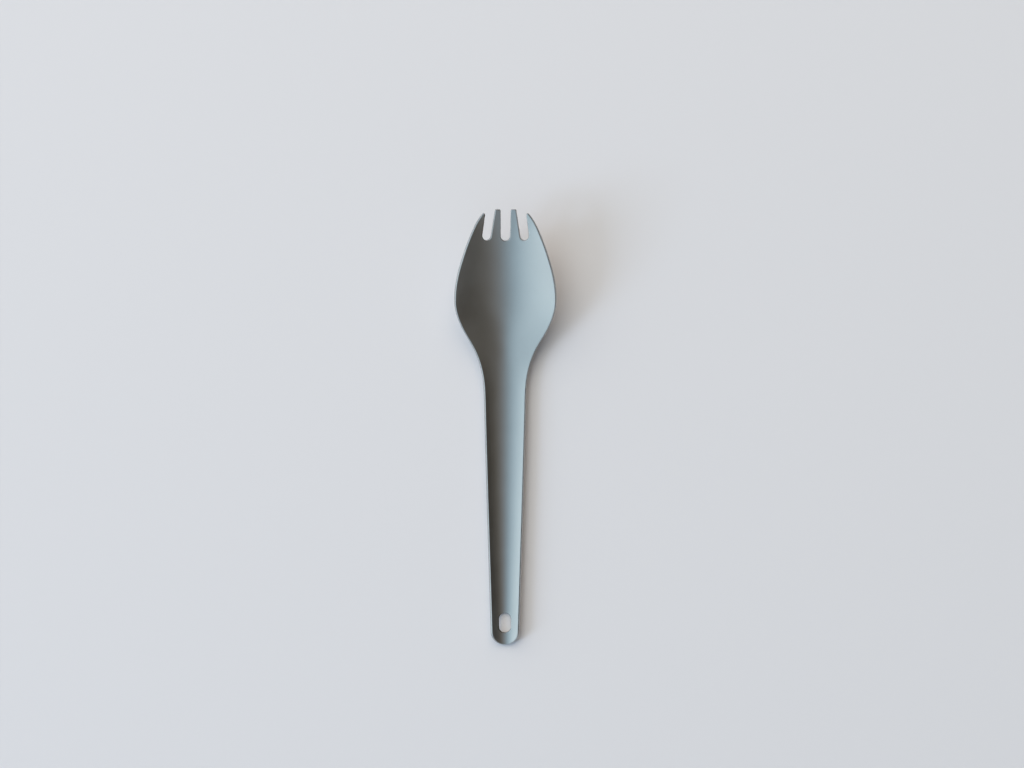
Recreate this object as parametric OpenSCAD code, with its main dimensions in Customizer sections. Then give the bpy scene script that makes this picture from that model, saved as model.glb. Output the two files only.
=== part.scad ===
// Camping spork pressed from one piece of titanium sheet.
// It lies on a table, hollow side up: +Y runs from the handle's end to the tines, +Z is up.
// The origin is on the table, under the middle of the length.

/* [Overall] */
// Length from the end of the handle to the tips of the inner tines, at the middle of the sheet
length = 165; // [150:1:190]
// Thickness of the sheet
sheet_t = 1.1; // [0.8:0.05:1.4]

/* [Handle] */
// Width across the handle just before its round end
handle_end_w = 10.2; // [9.5:0.1:13]
// Width across the neck, where the handle starts to open into the bowl
neck_w = 15.7; // [14:0.1:19]
// Depth of the trough pressed along the handle
trough_depth = 2.6; // [1.6:0.1:3.4]

/* [Bowl] */
// Length of the head, from the neck to the tips of the inner tines
head_len = 72.2; // [64:0.1:80]
// Width across the bowl at its widest
bowl_w = 38.2; // [34:0.1:43]
// Distance from the tips of the inner tines back to the widest place
widest_back = 33.9; // [30:0.1:37]
// Depth of the bowl under its rim
bowl_depth = 8.5; // [7:0.1:10]
// Height that the middle line of the sheet climbs from the handle to the tips
tip_rise = 14.8; // [10:0.2:18]

/* [Tines] */
// Width of the slots at their round bottoms, measured along the sheet
slot_w = 3.6; // [3:0.05:4.2]
// Length of the slots in plan, from the tips of the inner tines to their round bottoms
slot_len = 11.1; // [9:0.1:13]
// Distance between the middle lines of two slots at their round bottoms, in plan
slot_pitch = 7.15; // [6.4:0.05:8]
// Lean of the outer slots towards the middle, in degrees in plan
slot_lean = 8.9; // [6:0.1:10]
// Angle by which each side of a slot opens towards the tips, in degrees
slot_flare = 0.7; // [0:0.1:1.5]
// Width across the points of the outer tines
point_w = 15.4; // [14.6:0.1:17]

/* [Lanyard hole] */
// Width of the hole
hole_w = 4.8; // [4.2:0.1:5.5]
// Length of the hole, round ends included
hole_len = 7.5; // [6.5:0.1:9]
// Distance from the end of the handle to the middle of the hole
hole_inset = 8.5; // [7.5:0.1:12]

/* [Hidden] */
$fn = 64;

// Places along the spork, counted from the end of the handle
neck_y = length - head_len;
widest_y = length - widest_back;

// Taper from the handle's end to the neck: [place, width gained, steepness]
taper_shares = [[0, 0, 1], [1, 1, 0.8]];
// Shoulder from the neck to the widest place: [place, width gained, steepness]
shoulder_shares = [[0, 0, 0.08], [0.27, 0.072, 0.6], [0.51, 0.325, 1.58], [0.63, 0.55, 2.1], [1, 1, 0]];
// Front from the widest place to the tips: [place, width left, steepness]
front_shares = [[0, 1, 0], [0.24, 0.925, -0.6], [0.5, 0.705, -0.95], [0.77, 0.395, -1.3],
                [0.94, 0.095, -2.5], [0.97, 0.005, -4], [1, -0.3, -13]];
// Front as the die has it: the same, but straight on at the tips, so that the tines don't curl there
die_front_shares = [[0, 1, 0], [0.24, 0.925, -0.6], [0.5, 0.705, -0.95], [0.77, 0.395, -1.3],
                    [0.94, 0.095, -2.1], [1, -0.03, -2.1]];
// Hollow along the head, from the trough's depth to the bowl's: [place, depth gained, steepness]
hollow_shares = [[0, 0, 0.1], [0.27, 0.17, 2.1], [0.46, 0.8, 2.5], [0.61, 1, 0],
                 [0.79, 0.7, -3], [1, -0.2, -4.6]];
// Rise of the middle line starts this far along the head, and steepens with this power
rise_start_share = 0.2;
rise_power = 2.1;
// Roundness of the valley across the handle and along the head, in half widths: [place, roundness, steepness]
handle_valley_share = 1.5;
valley_shares = [[0, 1.5, -1], [0.27, 0.36, -1.2], [0.42, 0.4, 1.4], [0.62, 1, 1], [1, 1.1, 0]];

// Rounding of the sheet's edge, in thicknesses
edge_round_share = 0.28;
edge_r = sheet_t * edge_round_share;
edge_turns = [45, 90];

// Angle on the round end at which its short closing chord starts
chord_turn = 10;
// Rows of the mesh: round end, handle, shoulder, front and tips; columns across
end_rows = 6;
handle_rows = 14;
shoulder_rows = 20;
front_rows = 14;
tip_rows = 9;
columns = 16;
// The tips' close rows start this far along the front
tip_start_share = 0.84;

// Value at place u of the smooth curve through a table of [place, value, steepness]
function curve(table, u, i = 0) =
    i < len(table) - 2 && u > table[i + 1][0]
        ? curve(table, u, i + 1)
        : let (a = table[i], b = table[i + 1], span = b[0] - a[0], t = (u - a[0]) / span, r = 1 - t)
          a[1] * (1 + 2 * t) * r * r + b[1] * (1 + 2 * r) * t * t
          + span * t * r * (a[2] * r - b[2] * t);

function unit(v) = v / norm(v);

// Slope of the tapered sides, and the radius at which the round end meets them without a corner
end_slope = (neck_w - handle_end_w) / 2 / neck_y;
end_r = handle_end_w / 2 / (norm([1, end_slope]) - end_slope);

// Half the width of the blank at y, in plan: round end, straight taper, shoulder, front
function taper(y) = (handle_end_w + (neck_w - handle_end_w) * curve(taper_shares, y / neck_y)) / 2;
function round_end(y) = end_r * sqrt(1 - pow((1 - y / end_r) * cos(chord_turn), 2));
function shoulder(y) =
    (neck_w + (bowl_w - neck_w) * curve(shoulder_shares, (y - neck_y) / (widest_y - neck_y))) / 2;
function front(shares, y) = (point_w + (bowl_w - point_w) * curve(shares, (y - widest_y) / widest_back)) / 2;
function half_width(y) =
    y < end_r ? min(round_end(y), taper(y))
    : y < neck_y ? taper(y) : y < widest_y ? shoulder(y) : front(front_shares, y);

// Half the width that the die works with: its trough runs straight out of the round end
function press_width(y) = y < neck_y ? taper(y) : y < widest_y ? shoulder(y) : front(die_front_shares, y);

// Place along the head, 0 at the neck and 1 at the tips
function head(y) = max(0, (y - neck_y) / head_len);

// Height of the middle line, depth of the hollow and roundness of its valley at y
function spine(y) =
    sheet_t / 2
    + tip_rise * pow(max(0, (head(y) - rise_start_share) / (1 - rise_start_share)), rise_power);
function hollow(y) = trough_depth + (bowl_depth - trough_depth) * curve(hollow_shares, head(y));
function valley(y) = head(y) > 0 ? curve(valley_shares, head(y)) : handle_valley_share;

// Height of the middle of the sheet over the point x, y
function across(q, c) = (sqrt(q * q + c * c) - c) / (sqrt(1 + c * c) - c);
function sheet_z(x, y) = spine(y) + hollow(y) * across(x / press_width(y), valley(y));

// Slopes of the sheet along X and Y at a point, and its normal, which points up
probe = sheet_t / 20;
function slope_x(x, y) = (sheet_z(x + probe, y) - sheet_z(x - probe, y)) / (2 * probe);
function slope_y(x, y) = (sheet_z(x, y + probe) - sheet_z(x, y - probe)) / (2 * probe);
function normal(x, y) = unit([-slope_x(x, y), -slope_y(x, y), 1]);

// Rows of the mesh as places along Y
tip_y = widest_y + widest_back * tip_start_share;
row_ys = [
    for (i = [0 : end_rows - 1])
        end_r * (1 - cos(chord_turn + (90 - chord_turn) * i / end_rows) / cos(chord_turn)),
    for (i = [0 : handle_rows - 1]) end_r + (neck_y - end_r) * i / handle_rows,
    for (i = [0 : shoulder_rows - 1]) neck_y + (widest_y - neck_y) * i / shoulder_rows,
    for (i = [0 : front_rows - 1]) widest_y + (tip_y - widest_y) * i / front_rows,
    for (i = [0 : tip_rows]) tip_y + (length - tip_y) * i / tip_rows
];
last_row = len(row_ys) - 1;

// Outward direction of the blank's edge in plan at row i, on the +X side
function outward(i) =
    i == last_row
        ? [0, 1]
        : let (y = row_ys[i], rise = (half_width(y + probe) - half_width(max(0, y - probe)))
                                     / (probe + min(y, probe)))
          unit([1, -rise]);

// Corner where the flat of the sheet ends and its rounded edge begins, at row i
function inset(i) =
    let (x = half_width(row_ys[i]), y = row_ys[i], out = outward(i),
         tilt = [slope_x(x, y), slope_y(x, y)] * out,
         back = edge_r / norm([1, tilt]))
    [x, y] - out * back;

insets = [for (i = [0 : last_row]) inset(i)];
outs = [for (i = [0 : last_row]) outward(i)];
function place(i, j) = [insets[i].x * (2 * j / columns - 1), insets[i].y];

// Points of the two skins, a half thickness above and below the middle of the sheet
function skin_point(p, side) = [p.x, p.y, sheet_z(p.x, p.y)] + side * normal(p.x, p.y) * sheet_t / 2;
places = [for (i = [0 : last_row]) for (j = [0 : columns]) place(i, j)];
top_points = [for (p = places) skin_point(p, 1)];
bottom_points = [for (p = places) skin_point(p, -1)];

// The rim's corners in order, as [row, column], starting along the end of the handle
rim = [
    for (j = [0 : columns - 1]) [0, j],
    for (i = [0 : last_row - 1]) [i, columns],
    for (j = [columns : -1 : 1]) [last_row, j],
    for (i = [last_row : -1 : 1]) [i, 0]
];
rim_count = len(rim);

// Rounded edge at one corner of the rim: steps out from the skin, over the edge and back under
edge_steps = [
    for (a = edge_turns) [sin(a), sheet_t / 2 - edge_r + edge_r * cos(a)],
    for (k = [len(edge_turns) - 1 : -1 : 0])
        [sin(edge_turns[k]), edge_r - sheet_t / 2 - edge_r * cos(edge_turns[k])]
];
function rim_out(corner) =
    let (i = corner[0], j = corner[1], side = j == columns ? 1 : j == 0 ? -1 : 0)
    side == 0 ? (i == 0 ? [0, -1] : [0, 1]) : [side * outs[i].x, outs[i].y];
function rim_edge(corner) =
    let (p = place(corner[0], corner[1]), out = rim_out(corner), n = normal(p.x, p.y),
         tilt = [slope_x(p.x, p.y), slope_y(p.x, p.y)] * out, o = unit([out.x, out.y, tilt]))
    [for (s = edge_steps) [p.x, p.y, sheet_z(p.x, p.y)] + o * edge_r * s[0] + n * s[1]];
edge_points = [for (corner = rim) each rim_edge(corner)];

// Numbers of the points: skins first, then the rounded edge
skin_count = len(places);
steps = len(edge_steps);
function skin_id(corner) = corner[0] * (columns + 1) + corner[1];
function level_id(m, k) =
    k == 0 ? skin_id(rim[m])
    : k > steps ? skin_count + skin_id(rim[m])
    : 2 * skin_count + m * steps + k - 1;

// Two triangles for a four-cornered patch
function patch(a, b, c, d) = [[a, b, c], [a, c, d]];
skin_faces = [
    for (i = [0 : last_row - 1]) for (j = [0 : columns - 1])
        let (a = skin_id([i, j]), b = skin_id([i, j + 1]), c = skin_id([i + 1, j + 1]), d = skin_id([i + 1, j]))
        each concat(
            patch(a, d, c, b),
            patch(a + skin_count, b + skin_count, c + skin_count, d + skin_count)
        )
];
edge_faces = [
    for (m = [0 : rim_count - 1]) for (k = [0 : steps])
        let (n = (m + 1) % rim_count)
        each patch(level_id(m, k), level_id(n, k), level_id(n, k + 1), level_id(m, k + 1))
];

// The pressed sheet before its slots and hole
module pressed_sheet() {
    polyhedron(
        points = concat(top_points, bottom_points, edge_points),
        faces = concat(skin_faces, edge_faces),
        convexity = 6
    );
}

// One slot between tines, cut square to the sheet, with a round bottom at x, y
cut_reach = slot_len * 2;
cut_depth = sheet_t * 6;
module slot(x, lean) {
    y = length - slot_len + slot_w / 2;
    pitch = atan(slope_y(x, y));
    roll = atan(slope_x(x, y) * cos(pitch));
    root = slot_w / 2;
    mouth = root + cut_reach * tan(slot_flare);
    translate([x, y, sheet_z(x, y)])
        rotate([pitch, 0, 0])
            rotate([0, -roll, 0])
                rotate([0, 0, lean]) {
                    cylinder(d = slot_w, h = cut_depth, center = true);
                    linear_extrude(height = cut_depth, center = true)
                        polygon([[-root, 0], [root, 0], [mouth, cut_reach], [-mouth, cut_reach]]);
                }
}

// Long hole with round ends, for a cord or a small ring
module lanyard_hole() {
    straight = hole_len - hole_w;
    translate([0, hole_inset, sheet_t / 2]) {
        for (end = [-1, 1])
            translate([0, end * straight / 2, 0])
                cylinder(d = hole_w, h = cut_depth, center = true);
        cube([hole_w, straight, cut_depth], center = true);
    }
}

module spork() {
    color([0.56, 0.6, 0.62])
        translate([0, -length / 2, 0])
            difference() {
                pressed_sheet();
                for (side = [-1, 0, 1])
                    slot(side * slot_pitch, side * slot_lean);
                lanyard_hole();
            }
}

spork();
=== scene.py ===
# %% [markdown]
# # A pressed titanium spork
# The object is one sheet of titanium: a punch cuts a flat blank with its slots and hole, a die
# presses the blank hollow, and tumbling in grit rounds its edges and leaves a matte finish.
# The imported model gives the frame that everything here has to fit.

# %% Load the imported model
import math
import bpy
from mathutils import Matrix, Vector, kdtree


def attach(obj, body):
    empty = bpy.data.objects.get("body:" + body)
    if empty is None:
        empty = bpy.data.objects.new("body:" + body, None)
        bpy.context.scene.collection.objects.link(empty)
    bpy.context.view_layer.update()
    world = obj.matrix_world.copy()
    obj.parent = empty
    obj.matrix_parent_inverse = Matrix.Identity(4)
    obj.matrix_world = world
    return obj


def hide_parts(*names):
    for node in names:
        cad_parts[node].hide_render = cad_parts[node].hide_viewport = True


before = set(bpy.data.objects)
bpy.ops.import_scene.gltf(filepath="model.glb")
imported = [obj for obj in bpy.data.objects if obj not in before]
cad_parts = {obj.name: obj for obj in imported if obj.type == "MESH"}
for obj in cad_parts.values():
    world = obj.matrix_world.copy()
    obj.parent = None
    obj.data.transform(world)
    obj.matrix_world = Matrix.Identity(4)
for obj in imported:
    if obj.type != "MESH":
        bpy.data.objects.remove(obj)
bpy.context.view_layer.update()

MM = 0.001

# %% [markdown]
# ## Camera
# The picture is a flat lay: the camera looks down with a normal lens. It could be an orthographic
# camera, but the raised tines are a little larger than the handle, so a 50 mm lens at a real height
# is used. It hangs a little to the left of the spork and is tilted towards it by that much, which
# shows the raised head a little to the right of the handle, as in the photograph.

# %% Set the camera above the table
camera_height = 545.8 * MM
camera_beside = -9.8 * MM
camera_ahead = 17.4 * MM
aim_beside = 2.7 * MM
lens_in_mm = 50
sensor_in_mm = 36

camera_tilt = math.atan((aim_beside - camera_beside) / camera_height)
bpy.ops.object.camera_add(location=(camera_beside, camera_ahead, camera_height),
                          rotation=(0, -camera_tilt, 0))
camera = bpy.context.object
camera.name = "overhead_camera"
camera.data.lens = lens_in_mm
camera.data.sensor_width = sensor_in_mm
bpy.context.scene.camera = camera
bpy.context.scene.view_settings.view_transform = "Standard"
print("camera height in mm:", round(camera_height / MM, 1))
print("camera tilt in degrees:", round(math.degrees(camera_tilt), 2))

# %% [markdown]
# ## Table
# The spork lies on a pale painted board. A large plane is enough, because the camera sees
# nothing but the board. Its colour is what makes the background pale, not the lights.

# %% Lay the table
table_size = 6.0
table_colour = (0.64, 0.61, 0.63, 1)
table_roughness = 0.8


def plain_material(name, colour, roughness):
    """A material of one colour, for what isn't part of the object."""
    material = bpy.data.materials.new(name)
    material.use_nodes = True
    shader = material.node_tree.nodes["Principled BSDF"]
    shader.inputs["Base Color"].default_value = colour
    shader.inputs["Roughness"].default_value = roughness
    return material


bpy.ops.mesh.primitive_plane_add(size=table_size, location=(0, 0, 0))
table = bpy.context.object
table.name = "table"
table.data.materials.append(plain_material("painted_board", table_colour, table_roughness))
print("table in m:", table_size)

# %% [markdown]
# ## Light
# A low window at the left, a little towards the handle's end, throws the soft shadow beside the
# spork, and the wide soft light of the sky comes in from the tines' side. Two area lights make
# them. A sun lamp could stand for the window, but its shadow would stay sharp.

# %% Choose the window and the sky
window_azimuth = math.radians(199)
window_height = math.radians(24)
window_distance = 3.2
window_size = (0.72, 1.08)
window_power = 45
window_colour = (0.74, 1.0, 1.32)
sky_azimuth = math.radians(109)
sky_height = math.radians(35)
sky_distance = 4.0
sky_size = (5.5, 4.4)
sky_power = 197
sky_colour = (1.09, 1.0, 0.82)
print("window and sky in W:", window_power, sky_power)


# %% Hang the window and the sky
def panel_light(name, azimuth, height, distance, size, power, colour):
    """A rectangular light that looks at the origin from the given direction."""
    where = Vector((math.cos(azimuth) * math.cos(height), math.sin(azimuth) * math.cos(height),
                    math.sin(height))) * distance
    bpy.ops.object.light_add(type="AREA", location=where)
    lamp = bpy.context.object
    lamp.name = name
    lamp.rotation_euler = (-where).to_track_quat("-Z", "Y").to_euler()
    lamp.data.shape = "RECTANGLE"
    lamp.data.size, lamp.data.size_y = size
    lamp.data.energy = power
    lamp.data.color = colour
    return lamp


window = panel_light("window", window_azimuth, window_height, window_distance, window_size,
                     window_power, window_colour)
sky = panel_light("sky", sky_azimuth, sky_height, sky_distance, sky_size, sky_power, sky_colour)
window.visible_glossy = False
sky.visible_glossy = False
print("window hangs at z in m:", round(window.location.z, 2), " sky:", round(sky.location.z, 2))

# %% [markdown]
# ## Room
# Metal shows the room that it mirrors. A picture of a room could be wrapped round the scene, but a
# colour that depends on the direction is enough, and can be changed by hand: it runs from the
# bright left to the dim right, and its contrast fades towards the handle's end. It holds the window
# and the sky too, which is why both lamps are hidden from reflections.

# %% Choose the colours of the room
room_strength = 2.4
room_turn = math.radians(8)
room_colours = [(0.0, (0.703, 0.816, 0.885)), (0.05, (0.515, 0.623, 0.672)),
                (0.1, (0.37, 0.469, 0.53)), (0.2, (0.274, 0.365, 0.424)),
                (0.35, (0.175, 0.235, 0.2775)), (0.5, (0.135, 0.15, 0.162)),
                (0.65, (0.112, 0.105, 0.101)), (0.8, (0.071, 0.058, 0.041)),
                (0.9, (0.018, 0.013, 0.007)), (1.0, (0.003, 0.002, 0.001))]
fade_from = -0.45
fade_to = -0.7
fade_share = 0.4
faded_tone = 0.33
print("room colours from left to right:", len(room_colours))


# %% Helpers for nodes
def socket(sockets, title):
    """The visible socket with this title, because a Mix node also hides others of that name."""
    return next(s for s in sockets if s.name == title and s.enabled)


def fill(tree, target, value):
    """Link a socket to another one, or give it a value of its own."""
    if isinstance(value, bpy.types.NodeSocket):
        tree.links.new(value, target)
    else:
        target.default_value = value


def add_node(tree, kind, inputs=None, **settings):
    """Add a node, set it up, and fill its inputs by title or by number."""
    node = tree.nodes.new("ShaderNode" + kind)
    for name, value in settings.items():
        setattr(node, name, value)
    for title, value in (inputs or {}).items():
        target = node.inputs[title] if isinstance(title, int) else socket(node.inputs, title)
        fill(tree, target, value)
    return node


world = bpy.data.worlds.new("room")
world.use_nodes = True
room = world.node_tree
bpy.context.scene.world = world
print("nodes in the empty room:", [n.name for n in room.nodes])

# %% Find each direction's place from left to right
direction = add_node(room, "TexCoord").outputs["Generated"]
to_the_right = (math.cos(room_turn), math.sin(room_turn), 0)
across = add_node(room, "VectorMath", {0: direction, 1: to_the_right}, operation="DOT_PRODUCT")
from_left = add_node(room, "MapRange", {"Value": across.outputs["Value"], "From Min": -1.0,
                                        "From Max": 1.0})
to_the_tines = add_node(room, "SeparateXYZ", {0: direction}).outputs["Y"]
fade = add_node(room, "MapRange", {"Value": to_the_tines, "From Min": fade_from, "From Max": fade_to,
                                   "To Max": fade_share}, interpolation_type="SMOOTHSTEP")
faded = add_node(room, "Mix", {"Factor": fade.outputs["Result"], "A": from_left.outputs["Result"],
                               "B": faded_tone})
print("turn of the room in degrees:", round(math.degrees(room_turn)))

# %% Colour the room
ramp = add_node(room, "ValToRGB", {"Fac": socket(faded.outputs, "Result")})
stops = ramp.color_ramp.elements
for share, colour in room_colours[1:-1]:
    stops.new(share)
for stop, (share, colour) in zip(stops, room_colours):
    stop.position = share
    stop.color = colour + (1,)
background = room.nodes["Background"]
fill(room, background.inputs["Color"], ramp.outputs["Color"])
fill(room, background.inputs["Strength"], room_strength)
print("room nodes:", len(room.nodes))

# %% [markdown]
# ## Sizes
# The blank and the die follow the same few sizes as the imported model: lengths in metres, and
# curves as tables of shares. A curve passes through each [place, value, steepness] of its table.
# The die's front is the blank's, but it runs straight on at the tips, so that they don't curl.

# %% Write down the sizes
length = 165.0 * MM
sheet = 1.1 * MM
handle_end_w = 10.2 * MM
neck_w = 15.7 * MM
trough_depth = 2.6 * MM
head_len = 72.2 * MM
bowl_w = 38.2 * MM
widest_back = 33.9 * MM
bowl_depth = 8.5 * MM
tip_rise = 14.8 * MM
slot_w = 3.6 * MM
slot_len = 11.1 * MM
slot_pitch = 7.15 * MM
slot_lean = math.radians(8.9)
slot_flare = math.radians(0.7)
point_w = 15.4 * MM
hole_w = 4.8 * MM
hole_len = 7.5 * MM
hole_inset = 8.5 * MM

half_length = length / 2
neck_y = length - head_len
widest_y = length - widest_back
print("neck and widest place in mm from the end:", round(neck_y / MM, 1), round(widest_y / MM, 1))

# %% Write down the curves
taper_shares = [[0, 0, 1], [1, 1, 0.8]]
shoulder_shares = [[0, 0, 0.08], [0.27, 0.072, 0.6], [0.51, 0.325, 1.58], [0.63, 0.55, 2.1],
                   [1, 1, 0]]
front_shares = [[0, 1, 0], [0.24, 0.925, -0.6], [0.5, 0.705, -0.95], [0.77, 0.395, -1.3],
                [0.94, 0.095, -2.5], [0.97, 0.005, -4], [1, -0.3, -13]]
rows_alike = 4
die_front_shares = front_shares[:rows_alike] + [[0.94, 0.095, -2.1], [1, -0.03, -2.1]]
hollow_shares = [[0, 0, 0.1], [0.27, 0.17, 2.1], [0.46, 0.8, 2.5], [0.61, 1, 0],
                 [0.79, 0.7, -3], [1, -0.2, -4.6]]
valley_shares = [[0, 1.5, -1], [0.27, 0.36, -1.2], [0.42, 0.4, 1.4], [0.62, 1, 1], [1, 1.1, 0]]
rise_start_share = 0.2
rise_power = 2.1


def curve(table_of_shares, place):
    """Value at a place of the smooth curve through the table."""
    at = 0
    while at < len(table_of_shares) - 2 and place > table_of_shares[at + 1][0]:
        at += 1
    (a, va, sa), (b, vb, sb) = table_of_shares[at], table_of_shares[at + 1]
    t = (place - a) / (b - a)
    r = 1 - t
    return va * (1 + 2 * t) * r * r + vb * (1 + 2 * r) * t * t + (b - a) * t * r * (sa * r - sb * t)


print("share of the front's width left halfway:", round(curve(front_shares, 0.5), 3))


# %% Widths of the blank and of the die
def taper(y):
    """Half the width of the handle's straight sides, y along from its end."""
    return (handle_end_w + (neck_w - handle_end_w) * curve(taper_shares, y / neck_y)) / 2


end_slope = (neck_w - handle_end_w) / 2 / neck_y
end_r = taper(0) / (math.hypot(1, end_slope) - end_slope)


def shoulder(y):
    """Half the width from the neck to the widest place."""
    return (neck_w + (bowl_w - neck_w) * curve(shoulder_shares, (y - neck_y) / (widest_y - neck_y))) / 2


def front(table_of_shares, y):
    """Half the width from the widest place to the tips."""
    return (point_w + (bowl_w - point_w) * curve(table_of_shares, (y - widest_y) / widest_back)) / 2


def press_width(y):
    """Half the width that the die works with. It runs straight on at the round end and the tips."""
    if y < neck_y:
        return taper(y)
    return shoulder(y) if y < widest_y else front(die_front_shares, y)


def half_width(y):
    """Half the width of the blank, y along from the end of the handle."""
    if y < end_r:
        return math.sqrt(max(0, end_r ** 2 - (end_r - y) ** 2))
    return front(front_shares, y) if y > widest_y else press_width(y)


print("end radius in mm:", round(end_r / MM, 2))
print("width halfway along in mm:", round(2 * half_width(half_length) / MM, 2))


# %% Height of the die
def sheet_z(x, y):
    """Height of the middle of the pressed sheet over the point x, y."""
    head = max(0, (y - neck_y) / head_len)
    climb = max(0, (head - rise_start_share) / (1 - rise_start_share))
    spine = sheet / 2 + tip_rise * climb ** rise_power
    hollow = trough_depth + (bowl_depth - trough_depth) * curve(hollow_shares, head)
    valley = curve(valley_shares, head)
    q = x / press_width(y)
    return spine + hollow * (math.hypot(q, valley) - valley) / (math.hypot(1, valley) - valley)


print("tips at z in mm:", round(sheet_z(0, length) / MM, 2))

# %% [markdown]
# ## Outline of the blank
# The blank is the same left and right, and the middle slot and the lanyard hole lie on its middle
# line. So the outline of the right half is one loop with no hole in it, from the end of the handle
# round the rim and the tines and back down the middle line. It could be a Bezier curve, but points
# worked out from the sizes follow them exactly. Corners at the tines are rounded a little, as
# tumbling leaves them.

# %% Arcs and rounded corners
step = 0.5 * MM
fine_step = step / 3
arc_steps = 14
corner_steps = 5
inner_corner_r = 0.42 * MM
outer_corner_r = 0.4 * MM


def arc(centre, radius, start, end, squeeze=1.0, turn=0.0, steps=arc_steps):
    """Points on an arc in degrees, with its width squeezed and then turned."""
    points = []
    for i in range(steps + 1):
        a = math.radians(start + (end - start) * i / steps)
        x, y = radius * math.cos(a) * squeeze, radius * math.sin(a)
        points.append((centre[0] + x * math.cos(turn) - y * math.sin(turn),
                       centre[1] + x * math.sin(turn) + y * math.cos(turn)))
    return points


def half_angle(before, corner, after):
    """Half the angle at a corner between two of its neighbours."""
    return (Vector(before) - Vector(corner)).angle(Vector(after) - Vector(corner)) / 2


def rounding_reach(before, corner, after, radius):
    """Distance from a corner to where its rounding starts."""
    return radius / math.tan(half_angle(before, corner, after))


def rounded(before, corner, after, radius):
    """The corner between two neighbouring points, replaced by an arc of that radius."""
    a = (Vector(before) - Vector(corner)).normalized()
    b = (Vector(after) - Vector(corner)).normalized()
    half = half_angle(before, corner, after)
    centre = Vector(corner) + (a + b).normalized() * radius / math.sin(half)
    middle = math.degrees(math.atan2(-(a + b).y, -(a + b).x))
    turn = math.copysign(90 - math.degrees(half), a.cross(b))
    return arc(centre, radius, middle + turn, middle - turn, steps=corner_steps)


outline = arc((0, end_r), end_r, -90, 0)[:-1]
print("points of the round end:", len(outline))

# %% [markdown]
# ### Rim and outer slot
# The outer slots are punched square to the raised side of the bowl. Seen from above they are
# narrower by the cosine of its slope, and they open a little towards the tips. The rim ends where
# it meets the slot, and that sharp point of the outer tine is cut back as far as its rounding needs.

# %% Place the outer slot
slot_y = length - slot_len + slot_w / 2
probe = 0.05 * MM
side_slope = (sheet_z(slot_pitch + probe, slot_y) - sheet_z(slot_pitch - probe, slot_y)) / (2 * probe)
squeeze = math.cos(math.atan(side_slope))
slot_side = Vector((math.cos(slot_lean), math.sin(slot_lean))) * slot_w / 2 * squeeze
slot_bottom = Vector((slot_pitch, slot_y))


def on_slot_side(sign, y):
    """Point of the outer slot's outer (1) or inner (-1) edge at y."""
    start = slot_bottom + slot_side * sign
    lean = slot_lean - sign * slot_flare
    return (start.x - (y - start.y) * math.tan(lean), y)


print("outer slot is narrower from above by:", round(squeeze, 3))

# %% Follow the rim to the point of the outer tine
y = end_r
while y < slot_y or half_width(y) > on_slot_side(1, y)[0]:
    outline.append((half_width(y), y))
    y += step if y < length - slot_len else fine_step
point = (half_width(y), y)
below_point = on_slot_side(1, slot_y)
while math.dist(outline[-1], point) < rounding_reach(outline[-1], point, below_point, outer_corner_r):
    outline.pop()
outline += rounded(outline[-1], point, below_point, outer_corner_r)
print("outer tine ends in mm from the handle's end:", round(max(y for x, y in outline) / MM, 2))


# %% Follow the outer slot
def straight(a, b):
    """Evenly spaced points between two points, without either of them."""
    a, b = Vector(a), Vector(b)
    count = int((b - a).length / step)
    return [tuple(a.lerp(b, i / count)) for i in range(1, count)]


outline += straight(outline[-1], on_slot_side(1, slot_y + slot_side.y))
outline += arc(slot_bottom, slot_w / 2, 0, -180, squeeze, slot_lean)
print("points down to the slot's inner side:", len(outline))

# %% [markdown]
# ### Inner tine, middle slot and hole
# The inner tine ends square, with two rounded corners. After it the outline runs down the right
# half of the middle slot and of the long hole, which are both closed by the mirror image.

# %% Follow the inner tine, the middle slot and the hole
mouth_half = slot_w / 2 + (length - slot_y) * math.tan(slot_flare)
outer_tip, inner_tip = on_slot_side(-1, length), (mouth_half, length)
turn_out = rounded(on_slot_side(-1, slot_y), outer_tip, inner_tip, inner_corner_r)
turn_in = rounded(outer_tip, inner_tip, (slot_w / 2, slot_y), inner_corner_r)
outline += straight(outline[-1], turn_out[0]) + turn_out + straight(turn_out[-1], turn_in[0]) + turn_in
outline += straight(turn_in[-1], (slot_w / 2, slot_y))
outline += arc((0, slot_y), slot_w / 2, 0, -90)

hole_side = (hole_len - hole_w) / 2
outline += arc((0, hole_inset + hole_side), hole_w / 2, 90, 0)
outline += straight((hole_w / 2, hole_inset + hole_side), (hole_w / 2, hole_inset - hole_side))
outline += arc((0, hole_inset - hole_side), hole_w / 2, 0, -90)
print("corners of the half blank:", len(outline))

# %% [markdown]
# ## Blank
# A mesh disc with as many corners as the outline is the start: its corners are moved onto the
# outline, and a mirror image adds the left half. A drawn curve could be filled instead, but its
# filling would cut the face into long thin triangles, which don't press well.


# %% Cut the half blank and mirror it
def edit(on):
    """Go in or out of edit mode."""
    bpy.ops.object.mode_set(mode="EDIT" if on else "OBJECT")


def apply_modifier(thing, kind, **settings):
    """Add a modifier with these settings to the active object and apply it."""
    modifier = thing.modifiers.new(kind.lower(), kind)
    for name, value in settings.items():
        setattr(modifier, name, value)
    bpy.ops.object.modifier_apply(modifier=modifier.name)


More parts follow.
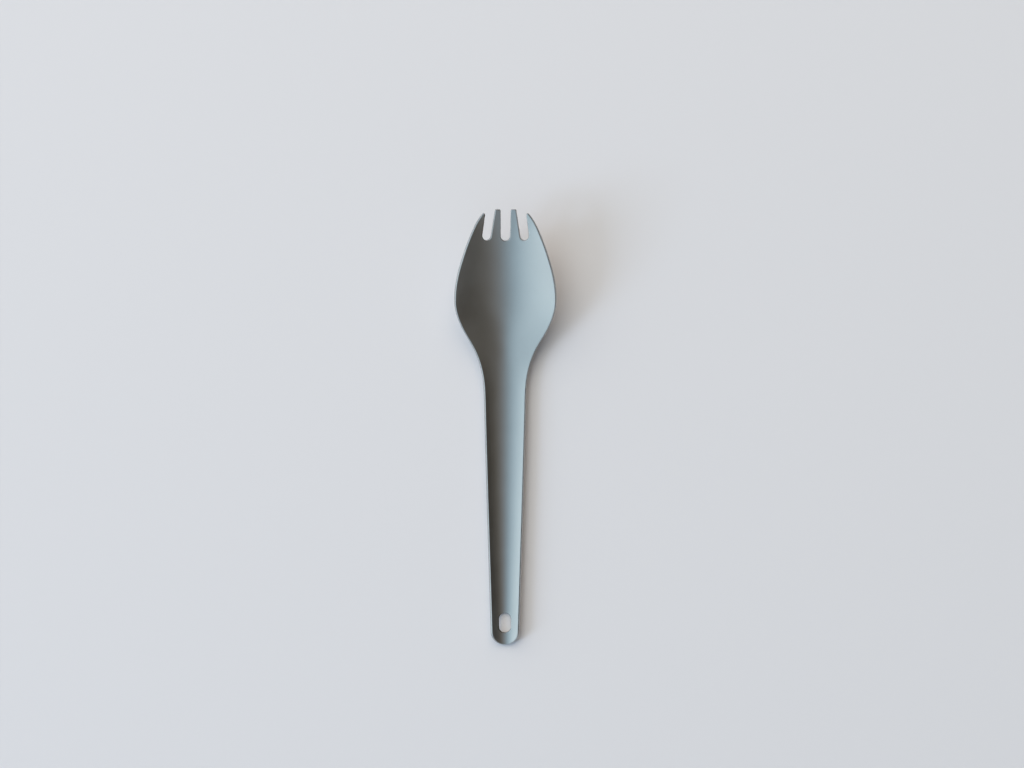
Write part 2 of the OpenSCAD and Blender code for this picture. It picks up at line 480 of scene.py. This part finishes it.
on_mirror_line = probe / 100
bpy.ops.object.select_all(action="DESELECT")
bpy.ops.mesh.primitive_circle_add(vertices=len(outline), radius=half_length, fill_type="NGON")
spork = bpy.context.object
spork.name = "spork_sheet"
for corner, (x, y) in zip(spork.data.vertices, outline):
    corner.co = (x if x > on_mirror_line else 0, y - half_length, 0)
edit(True)
bpy.ops.mesh.select_all(action="SELECT")
bpy.ops.mesh.normals_make_consistent(inside=False)
edit(False)
if spork.data.polygons[0].normal.z < 0:
    edit(True)
    bpy.ops.mesh.flip_normals()
    edit(False)
spork.data.update()
apply_modifier(spork, "MIRROR", use_axis=(True, False, False), merge_threshold=on_mirror_line)
print("blank faces:", len(spork.data.polygons), " corners:", len(spork.data.vertices))

# %% [markdown]
# ## Grid for the press
# A flat face can't bend. A narrow ring is inset along every edge, so that the rounded edge has
# clean strips to grow from, and the rest is bisected into small cells that the die can move. A cut
# that falls on a ring leaves slivers, so the cell is a size at which the straight sides of the
# hole's ring lie between two cuts.

# %% Inset the rim and bisect the rest
ring = 0.37 * MM
cells_to_ring = 4.8
cell = (hole_w / 2 + ring) / cells_to_ring
on_plane = 0.01 * MM

edit(True)
bpy.ops.mesh.select_mode(type="FACE")
bpy.ops.mesh.select_all(action="SELECT")
bpy.ops.mesh.inset(thickness=ring, use_boundary=True, use_even_offset=True)
bpy.ops.mesh.hide(unselected=True)
for normal, reach in ((Vector((1, 0, 0)), bowl_w / 2), (Vector((0, 1, 0)), half_length)):
    for k in range(int(-reach / cell), int(reach / cell) + 1):
        bpy.ops.mesh.bisect(plane_co=normal * k * cell, plane_no=normal, threshold=on_plane)
        bpy.ops.mesh.select_all(action="SELECT")
bpy.ops.mesh.reveal()
edit(False)
print("cells:", len(spork.data.polygons))

# %% [markdown]
# ## Press
# The die gives every point of the blank a height. Sculpting or a lattice could do it roughly,
# but the die's shape is a formula, so each corner is simply lifted by it.

# %% Press the blank
for corner in spork.data.vertices:
    corner.co.z = sheet_z(corner.co.x, corner.co.y + half_length)
spork.data.update()
print("pressed height in mm:", round(max(v.co.z for v in spork.data.vertices) / MM, 2))

# %% [markdown]
# ## Thickness and rounded edges
# Solidify gives the sheet its thickness at right angles to the surface, as real sheet has, so the
# cut edges lean with it. Bevel then rounds the edges that tumbling has worn.

# %% Thicken the sheet and round its edges
edge_round_share = 0.28
edge_r = edge_round_share * sheet
edge_segments = 4
sharp = math.radians(50)

bpy.ops.object.select_all(action="DESELECT")
spork.select_set(True)
bpy.context.view_layer.objects.active = spork
apply_modifier(spork, "SOLIDIFY", thickness=sheet, offset=0)
apply_modifier(spork, "BEVEL", width=edge_r, segments=edge_segments, limit_method="ANGLE",
               angle_limit=sharp, use_clamp_overlap=False)
bpy.ops.object.shade_smooth()
print("triangles:", sum(len(p.vertices) - 2 for p in spork.data.polygons))

# %% [markdown]
# ## Distance from the edge
# Tumbling smooths the edge of the sheet and leaves its faces matte. A material can't tell how far
# a point is from the edge, and a painted mask would need a UV map, so each corner of the mesh
# gets its distance to the blank's outline, in millimetres, as an attribute that the material reads.

# %% Measure how far each corner is from the edge
edge_points = [(sign * x, y - half_length) for x, y in outline for sign in (-1, 1)]
edge_finder = kdtree.KDTree(len(edge_points))
for i, (x, y) in enumerate(edge_points):
    edge_finder.insert((x, y, 0), i)
edge_finder.balance()

from_edge = spork.data.attributes.new("from_edge", "FLOAT", "POINT")
for corner, value in zip(spork.data.vertices, from_edge.data):
    nearest, index, distance = edge_finder.find((corner.co.x, corner.co.y, 0))
    value.value = distance / MM
print("farthest corner from the edge in mm:", round(max(v.value for v in from_edge.data), 1))

# %% [markdown]
# ## Finish
# Blasting with glass beads leaves the titanium satin grey, with a grain of tiny dents. The
# pressing leaves shallow waves, tumbling leaves the edges smoother and a little darker, and use
# leaves a few fine marks. Each effect is a node group with named inputs and outputs, so that
# another material can use it with other values. An image texture could hold all this, but a
# pattern made from the object's own coordinates stays sharp at any distance. Sizes in the groups
# are in millimetres.

# %% Blast grain
noise_detail = 3.0
noise_low = 0.3
noise_high = 0.7


def new_group(name, inputs, outputs):
    """An empty shader node group with these sockets, and its two end nodes."""
    group = bpy.data.node_groups.new(name, "ShaderNodeTree")
    for title, kind in inputs:
        group.interface.new_socket(title, in_out="INPUT", socket_type="NodeSocket" + kind)
    for title, kind in outputs:
        group.interface.new_socket(title, in_out="OUTPUT", socket_type="NodeSocket" + kind)
    return group, group.nodes.new("NodeGroupInput"), group.nodes.new("NodeGroupOutput")


def noise(tree, place, size, detail=noise_detail):
    """Noise with features about as large as size."""
    scale = add_node(tree, "Math", {0: 1.0, 1: size}, operation="DIVIDE")
    pattern = add_node(tree, "TexNoise", {"Vector": place, "Scale": scale.outputs[0], "Detail": detail})
    return pattern.outputs[0]


def blast_grain_group():
    """Tiny dents, and slow changes of tone where the beads hit more or less."""
    group, start, end = new_group("blast_grain", [("Place", "Vector"), ("Grain size", "Float"),
                                                  ("Cloud size", "Float")],
                                  [("Height", "Float"), ("Cloud", "Float")])
    place = start.outputs["Place"]
    dents = noise(group, place, start.outputs["Grain size"])
    cloud = noise(group, place, start.outputs["Cloud size"])
    even = add_node(group, "MapRange", {"Value": cloud, "From Min": noise_low, "From Max": noise_high})
    fill(group, end.inputs["Height"], dents)
    fill(group, end.inputs["Cloud"], even.outputs["Result"])
    return group


blast_grain = blast_grain_group()
print("group:", blast_grain.name)

# %% Waves from the press
wave_squeeze = (1.0, 0.45, 1.0)
wave_detail = 1.0


def press_waves_group():
    """Shallow waves, longer along the sheet than across it."""
    group, start, end = new_group("press_waves", [("Place", "Vector"), ("Wave length", "Float")],
                                  [("Height", "Float")])
    squeezed = add_node(group, "VectorMath", {0: start.outputs["Place"], 1: wave_squeeze},
                        operation="MULTIPLY")
    waves = noise(group, squeezed.outputs[0], start.outputs["Wave length"], wave_detail)
    fill(group, end.inputs["Height"], waves)
    return group


press_waves = press_waves_group()
print("group:", press_waves.name)

# %% Tumbled edge
wander_size = 2.5
least_wander = 0.7
most_wander = 1.3


def tumbled_edge_group():
    """1 on the edge and 0 on the faces, with a border that wanders a little."""
    group, start, end = new_group("tumbled_edge", [("Place", "Vector"), ("From edge", "Float"),
                                                   ("Reach", "Float")],
                                  [("Mask", "Float")])
    wander = noise(group, start.outputs["Place"], wander_size)
    share = add_node(group, "MapRange", {"Value": wander, "From Min": noise_low, "From Max": noise_high,
                                         "To Min": least_wander, "To Max": most_wander})
    reach = add_node(group, "Math", {0: share.outputs["Result"], 1: start.outputs["Reach"]},
                     operation="MULTIPLY")
    half_reach = add_node(group, "Math", {0: reach.outputs[0], 1: 0.5}, operation="MULTIPLY")
    mask = add_node(group, "MapRange", {"Value": start.outputs["From edge"],
                                        "From Min": half_reach.outputs[0],
                                        "From Max": reach.outputs[0], "To Min": 1.0, "To Max": 0.0},
                    interpolation_type="SMOOTHSTEP")
    fill(group, end.inputs["Mask"], mask.outputs["Result"])
    return group


tumbled_edge = tumbled_edge_group()
print("group:", tumbled_edge.name)

# %% Marks of use
hairline_size = (0.25, 8.0, 1.0)
hairline_from = 0.62
hairline_full = 0.72
patch_size = 9.0
patch_from = 0.45
patch_full = 0.6


def fine_marks_group():
    """Sparse hairlines along one direction, which is turned about Z."""
    group, start, end = new_group("fine_marks", [("Place", "Vector"), ("Turn", "Vector"),
                                                 ("Amount", "Float")],
                                  [("Mask", "Float")])
    turned = add_node(group, "Mapping", {"Vector": start.outputs["Place"],
                                         "Rotation": start.outputs["Turn"], "Scale": hairline_size},
                      vector_type="TEXTURE")
    lines = noise(group, turned.outputs[0], 1.0)
    patches = noise(group, start.outputs["Place"], patch_size)
    most = add_node(group, "MapRange", {"Value": lines, "From Min": hairline_from,
                                        "From Max": hairline_full})
    some = add_node(group, "MapRange", {"Value": patches, "From Min": patch_from,
                                        "From Max": patch_full})
    both = add_node(group, "Math", {0: most.outputs["Result"], 1: some.outputs["Result"]},
                    operation="MULTIPLY")
    scaled = add_node(group, "Math", {0: both.outputs[0], 1: start.outputs["Amount"]},
                      operation="MULTIPLY")
    fill(group, end.inputs["Mask"], scaled.outputs[0])
    return group


fine_marks = fine_marks_group()
print("group:", fine_marks.name)

# %% [markdown]
# ## Titanium
# Bare metal has no other colour than its reflection, so the shader is fully metallic and its base
# colour is the share of light that it throws back. The faces are a rough mid grey, and the tumbled
# edge is smoother and a little darker. Only what changes over the surface is linked: the rest is
# set on the shader's own sockets.

# %% Choose the tones and sizes of the finish
face_grey = (0.50, 0.50, 0.492, 1)
cloud_grey = (0.525, 0.525, 0.517, 1)
edge_grey = (0.47, 0.47, 0.464, 1)
face_roughness = 0.42
cloud_roughness = 0.45
edge_roughness = 0.24
mark_roughness = 0.34

grain_size = 0.22
grain_depth = 0.004 * MM
cloud_size = 7.0
wave_length = 11.0
wave_depth = 0.06 * MM
edge_reach = 0.42
along_turn, along_amount = math.radians(6), 0.2
across_turn, across_amount = math.radians(58), 0.12
print("grain in mm:", grain_size, " waves in mm:", wave_length, " edge in mm:", edge_reach)

# %% Place the finishes in the titanium
titanium = bpy.data.materials.new("blasted_titanium")
titanium.use_nodes = True
tree = titanium.node_tree
shader = tree.nodes["Principled BSDF"]
shader.inputs["Metallic"].default_value = 1.0


def use_group(group, inputs):
    """Place a node group in the titanium with these inputs."""
    node = tree.nodes.new("ShaderNodeGroup")
    node.node_tree = group
    for title, value in inputs.items():
        fill(tree, node.inputs[title], value)
    return node


per_mm = Vector((1, 1, 1)) / MM
object_place = add_node(tree, "TexCoord").outputs["Object"]
place = add_node(tree, "Mapping", {"Vector": object_place, "Scale": per_mm}).outputs[0]
edge_distance = add_node(tree, "Attribute", attribute_name="from_edge").outputs["Fac"]
grain = use_group(blast_grain, {"Place": place, "Grain size": grain_size, "Cloud size": cloud_size})
waves = use_group(press_waves, {"Place": place, "Wave length": wave_length})
edge = use_group(tumbled_edge, {"Place": place, "From edge": edge_distance, "Reach": edge_reach})
along = use_group(fine_marks, {"Place": place, "Turn": (0, 0, along_turn), "Amount": along_amount})
across = use_group(fine_marks, {"Place": place, "Turn": (0, 0, across_turn), "Amount": across_amount})
print("groups in the titanium:", sum(n.type == "GROUP" for n in tree.nodes))


# %% Link the titanium
def mix(kind, factor, a, b):
    """Blend two values or colours."""
    node = add_node(tree, "Mix", {"Factor": factor, "A": a, "B": b}, data_type=kind)
    return socket(node.outputs, "Result")


either_mark = add_node(tree, "Math", {0: along.outputs["Mask"], 1: across.outputs["Mask"]},
                       operation="MAXIMUM").outputs[0]
face_colour = mix("RGBA", grain.outputs["Cloud"], face_grey, cloud_grey)
colour = mix("RGBA", edge.outputs["Mask"], face_colour, edge_grey)
cloudy = mix("FLOAT", grain.outputs["Cloud"], face_roughness, cloud_roughness)
marked = mix("FLOAT", either_mark, cloudy, mark_roughness)
roughness = mix("FLOAT", edge.outputs["Mask"], marked, edge_roughness)
wave_bump = add_node(tree, "Bump", {"Height": waves.outputs["Height"], "Strength": 1.0,
                                    "Distance": wave_depth})
grain_bump = add_node(tree, "Bump", {"Height": grain.outputs["Height"], "Strength": 1.0,
                                     "Distance": grain_depth, "Normal": wave_bump.outputs["Normal"]})
fill(tree, shader.inputs["Base Color"], colour)
fill(tree, shader.inputs["Roughness"], roughness)
fill(tree, shader.inputs["Normal"], grain_bump.outputs["Normal"])
spork.data.materials.append(titanium)
print("titanium nodes:", len(tree.nodes))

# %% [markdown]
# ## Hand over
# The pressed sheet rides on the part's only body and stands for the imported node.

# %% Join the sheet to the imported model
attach(spork, "root")
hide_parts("spork")
